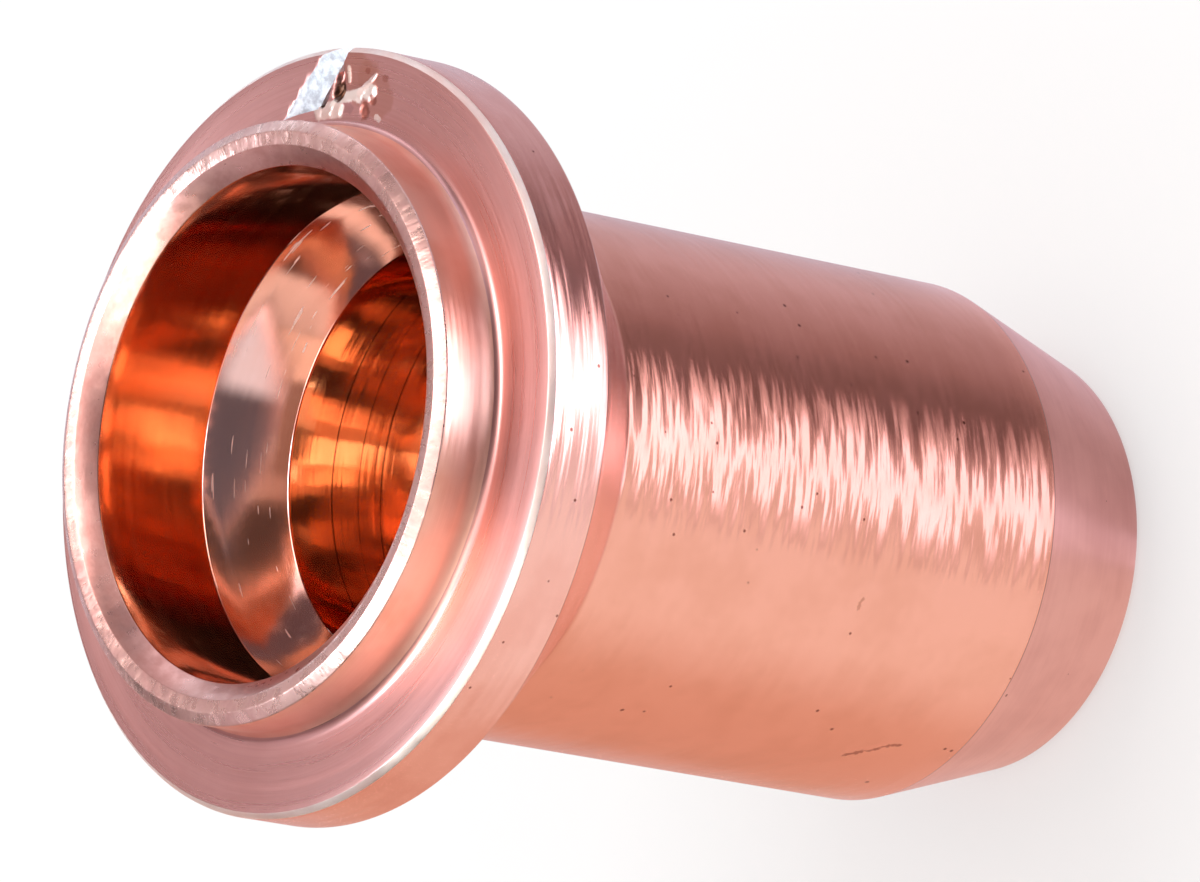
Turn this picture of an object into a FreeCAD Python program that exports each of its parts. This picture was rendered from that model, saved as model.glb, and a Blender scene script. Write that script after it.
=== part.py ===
"""Copper nozzle of a hand-held plasma cutting torch, turned in one piece.

Millimetres, +Z up. The nozzle stands nose down: the origin is the centre of the flat nose
face, and +Z runs along the axis of revolution towards the open mouth.
"""
import FreeCAD, Part
import os
import Sketcher

NODE = "nozzle"

# Driving dimensions in millimetres and degrees: alias, value, what it is.
SIZES = [
    ("overall_length", 20.4, "nose face to mouth"),
    ("barrel_diameter", 11.0, "cylinder that the retaining cap slides over"),
    ("nose_cone_length", 3.4, "nose face to the barrel, along the axis"),
    ("nose_face_diameter", 8.9, "across the nose, before its edge is rounded"),
    ("nose_edge_radius", 0.25, "rounding of the nose edge"),
    ("shoulder_width", 1.7, "flange face outside the collar, from the collar to the rim"),
    ("flange_rim_width", 1.45, "rim, along the axis"),
    ("flange_cone_length", 2.5, "cone from the rim down to the barrel, along the axis"),
    ("flange_root_radius", 0.3, "fillet where that cone meets the barrel"),
    ("flange_edge_break", 0.12, "broken edge round the flange's rear face"),
    ("collar_wall", 0.9, "ring that stands on the flange's rear face, outside the counterbore"),
    ("collar_height", 1.4, "flange face to mouth"),
    ("collar_foot_radius", 0.4, "fillet where the collar meets the flange face"),
    ("collar_bevel_width", 0.25, "bevel outside the mouth, across"),
    ("collar_bevel_length", 0.15, "bevel outside the mouth, along the axis"),
    ("counterbore_diameter", 10.5, "seat for the gas ring"),
    ("counterbore_depth", 3.1, "mouth to the top of the conical seat"),
    ("mouth_bevel", 0.38, "45 degree bevel inside the mouth"),
    ("seat_half_angle", 30.0, "conical seat, from the axis"),
    ("chamber_diameter", 8.7, "bore that the electrode stands in"),
    ("floor_half_angle", 50.0, "conical floor of the chamber, from the axis"),
    ("orifice_diameter", 1.3, "arc orifice"),
    ("orifice_length", 2.2, "straight part of the orifice"),
    ("nick_angle", 28.0, "turn of the nick's line from +X, clockwise from above"),
    ("nick_offset", 4.35, "nick's bottom line to the axis, square to that line"),
    ("nick_depth_rim", 0.18, "depth of the bottom line outside the rim"),
    ("nick_depth_inner", 0.31, "depth of the bottom line at its inner end, under the collar's foot"),
    ("nick_clearance", 0.05, "flange face left whole between the nick and the collar's foot"),
    ("nick_gentle_slope", 24.0, "slope of the wide flank from the flange face"),
    ("nick_steep_slope", 50.0, "slope of the narrow flank from the flange face"),
]

# Diameters and heights above the nose face that follow from those sizes, as expressions.
COLLAR_DIAMETER = "(Sizes.counterbore_diameter + 2 * Sizes.collar_wall)"
FLANGE_DIAMETER = f"({COLLAR_DIAMETER} + 2 * Sizes.shoulder_width)"
FACE_HEIGHT = "Sizes.overall_length - Sizes.collar_height"
RIM_HEIGHT = FACE_HEIGHT + " - Sizes.flange_rim_width"
ROOT_HEIGHT = RIM_HEIGHT + " - Sizes.flange_cone_length"
SEAT_TOP = "Sizes.overall_length - Sizes.counterbore_depth"
SEAT_FOOT = (
    SEAT_TOP
    + " - (Sizes.counterbore_diameter - Sizes.chamber_diameter) / 2 / tan(Sizes.seat_half_angle)"
)
FLOOR_TOP = (
    "Sizes.orifice_length"
    " + (Sizes.chamber_diameter - Sizes.orifice_diameter) / 2 / tan(Sizes.floor_half_angle)"
)
# The nick is cut before the collar is added. It starts clear of the rim and runs in under the
# collar, whose foot then fills its inner end, so that it ends along the collar.
NICK_START = f"{FLANGE_DIAMETER} / 2"
NICK_LENGTH = f"({NICK_START} - {COLLAR_DIAMETER} / 3)"
# Height of the nick's cutter above the flange face, which it sinks towards.
NICK_LIFT = "Sizes.nick_depth_inner"
FOOT_DIAMETER = f"({COLLAR_DIAMETER} + 2 * Sizes.collar_foot_radius + 2 * Sizes.nick_clearance)"
# Stands for a coordinate that is nought by design: on the axis, or on the nose face.
NOUGHT = None


def make_sheet(doc):
    """Write the driving dimensions into the document's spreadsheet."""
    sheet = doc.addObject("Spreadsheet::Sheet", "Sizes")
    for row, (alias, value, note) in enumerate(SIZES, start=1):
        sheet.set(f"A{row}", alias)
        sheet.set(f"B{row}", str(value))
        sheet.set(f"C{row}", note)
        sheet.setAlias(f"B{row}", alias)
    doc.recompute()
    return sheet


def value_of(sheet, expression):
    """Number that an expression on the sheet stands for now."""
    value = sheet.evalExpression(expression)
    return float(getattr(value, "Value", value))


def sketch_on(body, name, role):
    """Empty sketch on one of the body's origin planes."""
    sketch = body.newObject("Sketcher::SketchObject", name)
    plane = next(item for item in body.Origin.OriginFeatures if item.Role == role)
    sketch.AttachmentSupport = (plane, [""])
    sketch.MapMode = "FlatFace"
    return sketch


def dimension(sketch, line, kind, axis_line, number, expression):
    """Dimension the start of a line from the origin, or put it on an axis at nought."""
    if expression is NOUGHT:
        sketch.addConstraint(Sketcher.Constraint("PointOnObject", line, 1, axis_line))
        return
    index = sketch.addConstraint(Sketcher.Constraint(kind, -1, 1, line, 1, number))
    sketch.setExpression(f"Constraints[{index}]", expression)


def draw_outline(sheet, sketch, corners):
    """Closed outline of straight lines through corners that are given as expressions."""
    points = [
        FreeCAD.Vector(*[0.0 if text is NOUGHT else value_of(sheet, text) for text in corner])
        for corner in corners
    ]
    count = len(points)
    for index, point in enumerate(points):
        sketch.addGeometry(Part.LineSegment(point, points[(index + 1) % count]), False)
    for index in range(count):
        sketch.addConstraint(Sketcher.Constraint("Coincident", index, 2, (index + 1) % count, 1))
    for index, (across, along) in enumerate(corners):
        dimension(sketch, index, "DistanceX", -2, points[index].x, across)
        dimension(sketch, index, "DistanceY", -1, points[index].y, along)


def turn(body, sketch, kind, name):
    """Revolve a sketch about the nozzle's axis, to add or to remove metal."""
    feature = body.newObject(kind, name)
    feature.Profile = sketch
    feature.ReferenceAxis = (sketch, ["V_Axis"])
    feature.Angle = 360
    sketch.Visibility = False
    return feature


def turn_outside(body, sheet):
    """Solid blank up to the flange's rear face: nose cone, barrel, and flange with its cone."""
    sketch = sketch_on(body, "outside_profile", "XZ_Plane")
    draw_outline(sheet, sketch, [
        (NOUGHT, NOUGHT),
        ("Sizes.nose_face_diameter / 2", NOUGHT),
        ("Sizes.barrel_diameter / 2", "Sizes.nose_cone_length"),
        ("Sizes.barrel_diameter / 2", ROOT_HEIGHT),
        (f"{FLANGE_DIAMETER} / 2", RIM_HEIGHT),
        (f"{FLANGE_DIAMETER} / 2", FACE_HEIGHT + " - Sizes.flange_edge_break"),
        (f"{FLANGE_DIAMETER} / 2 - Sizes.flange_edge_break", FACE_HEIGHT),
        (NOUGHT, FACE_HEIGHT),
    ])
    return turn(body, sketch, "PartDesign::Revolution", "turned_outside")


def add_collar(body, sheet):
    """Collar with its bevel, and the metal of its foot, which fills the nick's inner end."""
    sketch = sketch_on(body, "collar_profile", "XZ_Plane")
    foot = FACE_HEIGHT + " - 2 * Sizes.nick_depth_inner"
    draw_outline(sheet, sketch, [
        (NOUGHT, foot),
        (f"{FOOT_DIAMETER} / 2", foot),
        (f"{FOOT_DIAMETER} / 2", FACE_HEIGHT),
        (f"{COLLAR_DIAMETER} / 2", FACE_HEIGHT),
        (f"{COLLAR_DIAMETER} / 2", "Sizes.overall_length - Sizes.collar_bevel_length"),
        (f"{COLLAR_DIAMETER} / 2 - Sizes.collar_bevel_width", "Sizes.overall_length"),
        (NOUGHT, "Sizes.overall_length"),
    ])
    return turn(body, sketch, "PartDesign::Revolution", "turned_collar")


def bore_inside(body, sheet):
    """Bevelled mouth, counterbore, conical seat, chamber, conical floor and orifice."""
    sketch = sketch_on(body, "bore_profile", "XZ_Plane")
    draw_outline(sheet, sketch, [
        (NOUGHT, NOUGHT),
        ("Sizes.orifice_diameter / 2", NOUGHT),
        ("Sizes.orifice_diameter / 2", "Sizes.orifice_length"),
        ("Sizes.chamber_diameter / 2", FLOOR_TOP),
        ("Sizes.chamber_diameter / 2", SEAT_FOOT),
        ("Sizes.counterbore_diameter / 2", SEAT_TOP),
        ("Sizes.counterbore_diameter / 2", "Sizes.overall_length - Sizes.mouth_bevel"),
        ("Sizes.counterbore_diameter / 2 + Sizes.mouth_bevel", "Sizes.overall_length"),
        (NOUGHT, "Sizes.overall_length"),
    ])
    return turn(body, sketch, "PartDesign::Groove", "bored_inside")


def ring_edges(shape, radius, height):
    """Names of the circular edges of one radius at one height."""
    names = []
    for number, edge in enumerate(shape.Edges, start=1):
        if not isinstance(edge.Curve, Part.Circle):
            continue
        same_radius = abs(edge.Curve.Radius - radius) < 1e-5
        if same_radius and abs(edge.Curve.Center.z - height) < 1e-5:
            names.append(f"Edge{number}")
    return names


def round_ring(body, sheet, name, diameter, height, radius_alias):
    """Fillet the ring edge that stands at a diameter and a height on the last feature."""
    body.Document.recompute()
    base = body.Tip
    ring = ring_edges(base.Shape, value_of(sheet, diameter) / 2, value_of(sheet, height))
    fillet = body.newObject("PartDesign::Fillet", name)
    fillet.Base = (base, ring)
    fillet.setExpression("Radius", f"Sizes.{radius_alias}")
    return fillet


def nick_sketch(body, sheet):
    """V of the nick, on a plane square to its line and clear of the rim."""
    sketch = sketch_on(body, "nick_section", "YZ_Plane")
    turned = FreeCAD.Rotation(FreeCAD.Vector(0, 1, 0), -value_of(sheet, "Sizes.nick_angle"))
    sketch.AttachmentOffset = FreeCAD.Placement(FreeCAD.Vector(), turned)
    sketch.setExpression("AttachmentOffset.Rotation.Angle", "-Sizes.nick_angle * 1 deg")
    sketch.setExpression("AttachmentOffset.Base.x", f"-({NICK_START}) * sin(Sizes.nick_angle)")
    sketch.setExpression("AttachmentOffset.Base.z", f"({NICK_START}) * cos(Sizes.nick_angle)")
    rise = f"(Sizes.nick_depth_rim + {NICK_LIFT})"
    draw_outline(sheet, sketch, [
        ("Sizes.nick_offset", f"{FACE_HEIGHT} - Sizes.nick_depth_rim"),
        (f"Sizes.nick_offset + {rise} / tan(Sizes.nick_gentle_slope)", f"{FACE_HEIGHT} + {NICK_LIFT}"),
        (f"Sizes.nick_offset - {rise} / tan(Sizes.nick_steep_slope)", f"{FACE_HEIGHT} + {NICK_LIFT}"),
    ])
    sketch.Visibility = False
    return sketch


def cut_nick(body, sheet):
    """Dent across the flange's rear face, deepening from the rim to its inner end."""
    nick = body.newObject("PartDesign::Pocket", "nick")
    nick.Profile = nick_sketch(body, sheet)
    nick.Type = "Length"
    nick.UseCustomVector = True
    nick.AlongSketchNormal = True
    sink = "(Sizes.nick_depth_rim - Sizes.nick_depth_inner)"
    nick.setExpression("Length", NICK_LENGTH)
    nick.setExpression("Direction.x", "-cos(Sizes.nick_angle)")
    nick.setExpression("Direction.y", "sin(Sizes.nick_angle)")
    nick.setExpression("Direction.z", f"{sink} / {NICK_LENGTH}")
    return nick


def make_nozzle(doc, sheet):
    """The whole nozzle: turned, nicked, given its collar, bored, and its corners rounded."""
    body = doc.addObject("PartDesign::Body", NODE)
    body.Label = NODE
    turn_outside(body, sheet)
    cut_nick(body, sheet)
    add_collar(body, sheet)
    bore_inside(body, sheet)
    round_ring(body, sheet, "nose_edge", "Sizes.nose_face_diameter", "0", "nose_edge_radius")
    round_ring(body, sheet, "flange_root", "Sizes.barrel_diameter", ROOT_HEIGHT,
               "flange_root_radius")
    round_ring(body, sheet, "collar_foot", COLLAR_DIAMETER, FACE_HEIGHT, "collar_foot_radius")
    body.Placement = FreeCAD.Placement()
    doc.recompute()
    return body


def check_document(doc):
    """Stop if any object of the document failed to build."""
    for item in doc.Objects:
        failed = [state for state in item.State if state in ("Invalid", "Error")]
        if failed:
            raise RuntimeError(f"{item.Label} is {failed[0]}")


def check_solid(body):
    """Stop unless a body holds exactly one valid solid."""
    shape = body.Shape
    if shape.isNull() or not shape.isValid() or len(shape.Solids) != 1:
        raise RuntimeError(f"{body.Label} is not one valid solid")


def main():
    """Build the nozzle and write it to its STEP file."""
    os.makedirs("parts", exist_ok=True)
    doc = FreeCAD.newDocument("plasma_torch_nozzle")
    sheet = make_sheet(doc)
    nozzle = make_nozzle(doc, sheet)
    check_document(doc)
    check_solid(nozzle)
    nozzle.Shape.exportStep(f"parts/{nozzle.Label}.step")
    box = nozzle.Shape.optimalBoundingBox()
    print(f"{nozzle.Label}: {nozzle.Shape.Volume:.2f} mm3, "
          f"{box.XLength:.3f} x {box.YLength:.3f} x {box.ZLength:.3f} mm, base at {box.ZMin:.4f}")


main()
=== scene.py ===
"""Looks of a copper nozzle for a plasma cutting torch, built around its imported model.

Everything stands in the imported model's frame: metres, +Z up, the origin at the centre of the nose
face that the nozzle stands on. Sizes below are in millimetres and angles in degrees, as on a
turner's drawing, and each piece is modelled in millimetres and made metres at the end.
"""

import logging
import math
from dataclasses import dataclass, field
from enum import Enum

import bmesh
import bpy
from mathutils import Matrix, Vector


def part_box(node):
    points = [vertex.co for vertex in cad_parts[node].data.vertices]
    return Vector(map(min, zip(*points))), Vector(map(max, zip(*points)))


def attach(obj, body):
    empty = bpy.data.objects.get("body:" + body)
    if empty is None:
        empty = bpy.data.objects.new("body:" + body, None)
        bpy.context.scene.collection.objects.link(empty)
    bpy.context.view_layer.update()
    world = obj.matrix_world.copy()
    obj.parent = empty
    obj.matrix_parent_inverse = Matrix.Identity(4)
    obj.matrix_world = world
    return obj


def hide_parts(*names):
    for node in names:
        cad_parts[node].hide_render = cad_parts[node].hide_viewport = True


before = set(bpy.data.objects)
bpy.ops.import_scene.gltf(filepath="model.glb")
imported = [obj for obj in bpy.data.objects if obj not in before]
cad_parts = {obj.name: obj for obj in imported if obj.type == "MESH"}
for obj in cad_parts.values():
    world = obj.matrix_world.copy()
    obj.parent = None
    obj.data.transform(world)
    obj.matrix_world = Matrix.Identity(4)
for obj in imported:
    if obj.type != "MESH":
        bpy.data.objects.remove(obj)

log = logging.getLogger("nozzle")

Triple = tuple[float, float, float]
Socket = bpy.types.NodeSocket
Value = Socket | float

MM = 0.001
NODE = "nozzle"
BODY = "root"
WELD = 1e-4
FULL_TURN = 2 * math.pi
SMOOTH_ANGLE = 35.0


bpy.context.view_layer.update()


class Marks(Enum):
    """What a finish's tool marks are counted along."""

    AXIS = "height"
    RADIUS = "radius"


class Zone(Enum):
    """Stretches of the turned outline that each have a finish of their own."""

    NOSE = 0
    BARREL = 1
    FLANGE = 2
    FACE = 3
    COLLAR = 4
    LAND = 5
    COUNTERBORE = 6
    SEAT = 7
    CHAMBER = 8
    SCAR = 9
    # The rim's edge break, painted pale as its highlight.
    WORN_EDGE = 10
    MOUTH_BEVEL = 11
    NOSE_FACE = 12


class Graph:
    """Wires the shader nodes of one material."""

    def __init__(self, name: str) -> None:
        """Start an empty material.

        Args:
            name: The material's name.
        """
        self.material = bpy.data.materials.new(name)
        self.material.use_nodes = True
        self.tree = self.material.node_tree
        self.tree.nodes.clear()

    def add(self, kind: str, settings: dict[str, str] | None = None,
            **inputs: Socket | float | tuple) -> bpy.types.Node:
        """Add a node.

        Args:
            kind: Its type, without the ShaderNode prefix.
            settings: Attributes of the node itself.
            **inputs: Sockets by name, spaces as underscores, or by number as n0, n1. A socket is
                linked and anything else is set.

        Returns:
            The node.
        """
        node = self.tree.nodes.new(f"ShaderNode{kind}")
        for name, value in (settings or {}).items():
            setattr(node, name, value)
        for name, value in inputs.items():
            plain = name[1:].isdigit() and name[0] == "n"
            socket = node.inputs[int(name[1:])] if plain else node.inputs[name.replace("_", " ")]
            if isinstance(value, Socket):
                self.tree.links.new(value, socket)
            else:
                socket.default_value = value
        return node

    def surface(self, shader: Socket) -> bpy.types.Material:
        """Make a shader the surface, and give the finished material."""
        self.tree.links.new(shader, self.add("OutputMaterial").inputs["Surface"])
        return self.material

    def math(self, operation: str, first: Value, second: Value = 0.0) -> Socket:
        """Result of a Math node on two sockets or numbers."""
        return self.add("Math", {"operation": operation}, n0=first, n1=second).outputs[0]

    def vector(self, operation: str, first: Socket | Triple,
               second: Socket | Triple | None = None) -> Socket:
        """Work out a Vector Math node.

        Args:
            operation: The node's operation.
            first: Its first vector.
            second: Its second, if it takes one.

        Returns:
            The vector, or for a length or a dot product the number.
        """
        inputs = {"n0": first} if second is None else {"n0": first, "n1": second}
        node = self.add("VectorMath", {"operation": operation}, **inputs)
        return node.outputs["Value" if operation in ("LENGTH", "DOT_PRODUCT") else "Vector"]

    def scaled(self, vector: Socket | Triple, factor: Value) -> Socket:
        """A vector times a number."""
        return self.add("VectorMath", {"operation": "SCALE"}, n0=vector, Scale=factor).outputs[0]

    def combine(self, x: Value = 0.0, y: Value = 0.0, z: Value = 0.0) -> Socket:
        """Vector of three sockets or numbers."""
        return self.add("CombineXYZ", X=x, Y=y, Z=z).outputs[0]

    def noise(self, vector: Socket, scale: float, detail: float = 2.0,
              rough: float = 0.5) -> Socket:
        """Make a noise.

        Args:
            vector: Where it is read.
            scale: Its lumps to the unit.
            detail: Finer layers on the first.
            rough: How strong the finer layers are.

        Returns:
            A number from 0 to 1.
        """
        node = self.add("TexNoise", {"noise_dimensions": "3D"}, Vector=vector, Scale=scale,
                        Detail=detail, Roughness=rough)
        return node.outputs["Fac"]

    def remap(self, value: Socket, low: float, high: float, new_low: float = 0.0,
              new_high: float = 1.0, smooth: bool = True) -> Socket:
        """Stretch a range of values to another range, and clamp it there.

        Args:
            value: The value.
            low: Where the range starts.
            high: Where it ends.
            new_low: Result at its start.
            new_high: Result at its end.
            smooth: Whether the result eases in and out.

        Returns:
            The result.
        """
        kind = "SMOOTHSTEP" if smooth else "LINEAR"
        node = self.add("MapRange", {"interpolation_type": kind}, Value=value, n1=low, n2=high,
                        n3=new_low, n4=new_high)
        return node.outputs["Result"]

    def mix(self, factor: Value, first: Socket | tuple, second: Socket | tuple) -> Socket:
        """Blend two colours.

        Args:
            factor: Share of the second one.
            first: A colour.
            second: Another.

        Returns:
            The blend.
        """
        node = self.add("Mix", {"data_type": "RGBA"})
        for index, value in ((0, factor), (6, first), (7, second)):
            if isinstance(value, Socket):
                self.tree.links.new(value, node.inputs[index])
            else:
                node.inputs[index].default_value = value
        return node.outputs[2]

    def turned_from(self, way: Socket, azimuth: float) -> Socket:
        """Measure how far a direction is turned from an azimuth, either way.

        Args:
            way: The direction.
            azimuth: The azimuth, in degrees counter-clockwise from +X.

        Returns:
            The angle, from 0 to 180 degrees.
        """
        turn = math.radians(azimuth)
        ahead = self.vector("DOT_PRODUCT", way, (math.cos(turn), math.sin(turn), 0.0))
        aside = self.vector("DOT_PRODUCT", way, (-math.sin(turn), math.cos(turn), 0.0))
        return self.math("ABSOLUTE", self.math("DEGREES", self.math("ARCTAN2", aside, ahead)))


@dataclass(frozen=True)
class Ring:
    """Thin dark line round the axis: painted shade where it follows a corner, a plain line
    elsewhere.

    Attributes:
        at: Its height or radius, whichever the finish counts its marks along.
        width: Its width.
        colour: Its linear colour.
        share: How far that colour covers the copper.
    """

    at: float
    width: float
    colour: Triple
    share: float = 0.7


@dataclass(frozen=True)
class SmearAndShade:
    """Stroke on the surface with a ragged edge: other metal, a stain, a scratch, or the painted
    shade of a hollow.

    Attributes:
        start: One end of its middle line, in millimetres.
        end: The other end.
        width: Half its width.
        colour: Its linear colour.
        share: How far that colour covers the copper.
        ragged: How far its edge strays, as a share of its width.
        dull: How far it takes the metal's gloss away.
        tip: Its width at the end, as a share of its width at the start.
        lift: How far the metal stands up there, or sinks where it is below 0.
    """

    start: Triple
    end: Triple
    width: float
    colour: Triple
    share: float = 0.9
    ragged: float = 0.6
    dull: float = 0.0
    tip: float = 1.0
    lift: float = 0.0

    def reach(self, place: Vector) -> float:
        """Measure how far a place is from the stroke.

        Args:
            place: The place, in millimetres.

        Returns:
            Its distance from the middle line, as a share of the stroke's half width there.
        """
        run = Vector(self.end) - Vector(self.start)
        off = place - Vector(self.start)
        share = max(0.0, min(1.0, off.dot(run) / run.length_squared))
        return (off - run * share).length / (self.width * (1 + (self.tip - 1) * share))


@dataclass(frozen=True)
class Stretch:
    """Stretch round the axis where the tool marks are deep.

    Attributes:
        azimuth: Its middle, counter-clockwise from +X.
        reach: Half its width, in degrees.
        edge: Half the width of its soft edge, in degrees.
        calm: Share of the marks' turn that is left outside it.
    """

    azimuth: float
    reach: float
    edge: float
    calm: float


@dataclass(frozen=True)
class TurnedCopper:
    """Bare copper with the marks that a lathe tool leaves round the axis.

    Attributes:
        name: The material's name.
        base: Linear colour of the clean metal.
        worn: Linear colour where it is rubbed or tarnished.
        roughness: Gloss of the clean metal, and its spread.
        marks: What the tool marks are counted along.
        pitch: Distance from one tool mark to the next.
        mark_length: How far round a mark stays alike, in degrees.
        depth: Height of the marks.
        chatter: Most that a mark turns the surface round the axis, in degrees.
        anisotropy: How far the gloss is drawn out across the marks.
        streaking: How much the marks change the colour.
        grain: Height of the fine grain.
        specks: Share of the places for specks that have one.
        scratches: Share of the marks that are rough scratches.
        speck_size: Least and greatest radius of a speck.
        warp: How far the smears' outlines wander.
        stretch: Where the marks are deep, if that isn't all round.
        rings: Lines round the axis.
        smears: Stains, smears, scratches and painted shade of hollows.
    """

    name: str
    base: Triple
    worn: Triple
    roughness: tuple[float, float] = (0.24, 0.06)
    marks: Marks = Marks.AXIS
    pitch: float = 0.16
    mark_length: float = 70.0
    depth: float = 0.004
    chatter: float = 2.0
    anisotropy: float = 0.5
    streaking: float = 0.15
    grain: float = 0.0
    specks: float = 0.0
    scratches: float = 0.0
    speck_size: tuple[float, float] = (0.03, 0.09)
    warp: float = 0.0
    stretch: Stretch | None = None
    rings: tuple[Ring, ...] = ()
    smears: tuple[SmearAndShade, ...] = ()

    def ringed(self, g: Graph, along: Socket, colour: Socket) -> Socket:
        """Lay the rings over the copper, the painted corner shade among them.

        Args:
            g: The material's graph.
            along: What the marks are counted along.
            colour: Colour of the copper.

        Returns:
            The colour with the rings.
        """
        for ring in self.rings:
            off = g.math("ABSOLUTE", g.math("SUBTRACT", along, ring.at))
            low, high = [ring.width * share for share in RING_EDGE]
            cover = g.remap(off, low, high, ring.share, 0.0)
            colour = g.mix(cover, colour, (*ring.colour, 1.0))
        return colour

    def smeared_and_shaded(self, g: Graph, place: Socket, colour: Socket) -> tuple[Socket, Value]:
        """Lay the stains, smears, scratches and painted shade of hollows over the copper.

        Args:
            g: The material's graph.
            place: Place on the nozzle, in millimetres.
            colour: Colour of the copper.

        Returns:
            The colour with them, and how metallic the surface is.
        """
        metal = 1.0
        wandered = place
        if self.warp:
            noise = g.add("TexNoise", Vector=place, Scale=WANDERS_PER_MM, Detail=3.0)
            wander = g.vector("SUBTRACT", noise.outputs["Color"], (0.5, 0.5, 0.5))
            wandered = g.vector("ADD", place, g.scaled(wander, self.warp))
        for smear in self.smears:
            run = Vector(smear.end) - Vector(smear.start)
            off = g.vector("SUBTRACT", wandered, smear.start)
            share = g.math("DIVIDE", g.vector("DOT_PRODUCT", off, tuple(run)), run.length_squared)
            share = g.remap(share, 0.0, 1.0, smooth=False)
            gap = g.vector("LENGTH", g.vector("SUBTRACT", off, g.scaled(tuple(run), share)))
            edge = g.noise(place, RAGS_PER_WIDTH / smear.width, detail=3.0, rough=0.6)
            width = g.remap(share, 0.0, 1.0, smear.width, smear.width * smear.tip, smooth=False)
            reach = g.math("ADD", g.math("DIVIDE", gap, width),
                           g.math("MULTIPLY", g.math("SUBTRACT", edge, 0.5), 2 * smear.ragged))
            cover = g.remap(reach, *SMEAR_EDGE, smear.share, 0.0)
            colour = g.mix(cover, colour, (*smear.colour, 1.0))
            if smear.dull:
                metal = g.math("SUBTRACT", metal, g.math("MULTIPLY", cover, smear.dull))
        return colour, metal

    def specked(self, g: Graph, place: Socket, colour: Socket) -> Socket:
        """Scatter dark specks over the copper.

        Args:
            g: The material's graph.
            place: Place on the nozzle, in millimetres.
            colour: Colour of the copper.

        Returns:
            The colour with the specks.
        """
        cells = g.add("TexVoronoi", Vector=place, Scale=SPECK_CELLS)
        chosen = g.add("SeparateColor", Color=cells.outputs["Color"])
        least, most = [size * SPECK_CELLS for size in self.speck_size]
        size = g.remap(chosen.outputs[1], 0.0, 1.0, least, most, smooth=False)
        near = g.math("LESS_THAN", cells.outputs["Distance"], size)
        some = g.math("LESS_THAN", chosen.outputs[0], self.specks)
        cover = g.math("MULTIPLY", g.math("MULTIPLY", near, some), SPECK_SHARE)
        return g.mix(cover, colour, SPECK)

    def gloss(self, g: Graph, fine: Socket, outward: Socket, along: Socket) -> Socket:
        """Work out the roughness, from the tool marks and the scratches.

        Args:
            g: The material's graph.
            fine: Noise of the tool marks.
            outward: Direction away from the axis.
            along: What the marks are counted along.

        Returns:
            The roughness.
        """
        low, spread = self.roughness
        gloss = g.remap(fine, *GLOSS_RANGE, low - spread, low + spread, smooth=False)
        if self.scratches:
            across = g.combine(z=g.math("DIVIDE", along, SCRATCH_PITCH))
            lines = g.noise(g.vector("ADD", g.scaled(outward, SCRATCHES_ROUND), across), 1.0,
                            detail=1.0)
            rough = g.remap(lines, *[level - self.scratches for level in SCRATCH_RANGE])
            gloss = g.math("MAXIMUM", gloss, g.math("MULTIPLY", rough, SCRATCH_ROUGHNESS))
        return gloss

    def swing(self, g: Graph, marked: Socket, outward: Socket) -> Socket:
        """Work out how far each tool mark turns the surface round the axis.

        Args:
            g: The material's graph.
            marked: Place counted in tool marks.
            outward: Direction away from the axis.

        Returns:
            The turn, in radians.
        """
        most = math.radians(self.chatter)
        tilt = g.noise(g.vector("ADD", marked, TILT_SHIFT), 1.0, detail=4.0, rough=0.6)
        swing = g.remap(tilt, *TILT_RANGE, -most, most)
        if self.stretch:
            off = g.turned_from(outward, self.stretch.azimuth)
            low, high = [self.stretch.reach + sign * self.stretch.edge for sign in (-1, 1)]
            swing = g.math("MULTIPLY", swing, g.remap(off, low, high, 1.0, self.stretch.calm))
        return swing

    def material(self) -> bpy.types.Material:
        """Build the material.

        Returns:
            The material, with its pattern in the nozzle's own coordinates.
        """
        g = Graph(self.name)
        place = g.scaled(g.add("TexCoord").outputs["Object"], 1 / MM)
        parts = g.add("SeparateXYZ", Vector=place)
        flat = g.combine(parts.outputs["X"], parts.outputs["Y"])
        outward = g.vector("NORMALIZE", flat)
        along = parts.outputs["Z"] if self.marks is Marks.AXIS else g.vector("LENGTH", flat)
        # One unit of this space is one mark's length round the axis and one pitch along it.
        around = g.scaled(outward, math.degrees(1) / self.mark_length)
        marked, coarse = [g.vector("ADD", around, g.combine(z=g.math("DIVIDE", along, pitch)))
                          for pitch in (self.pitch, self.pitch * COARSE_PITCH)]
        fine = g.noise(marked, 1.0, detail=3.0, rough=0.6)
        broad = g.noise(coarse, 1.0)
        cloud = g.noise(place, CLOUDS_PER_MM, detail=3.0, rough=0.6)

        tone = g.math("ADD", g.math("MULTIPLY", fine, self.streaking),
                      g.math("MULTIPLY", cloud, 1 - self.streaking))
        colour = g.mix(g.remap(tone, *TONE_RANGE), (*self.base, 1.0), (*self.worn, 1.0))
        colour, metal = self.smeared_and_shaded(g, place, self.ringed(g, along, colour))
        if self.specks:
            colour = self.specked(g, place, colour)

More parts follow.
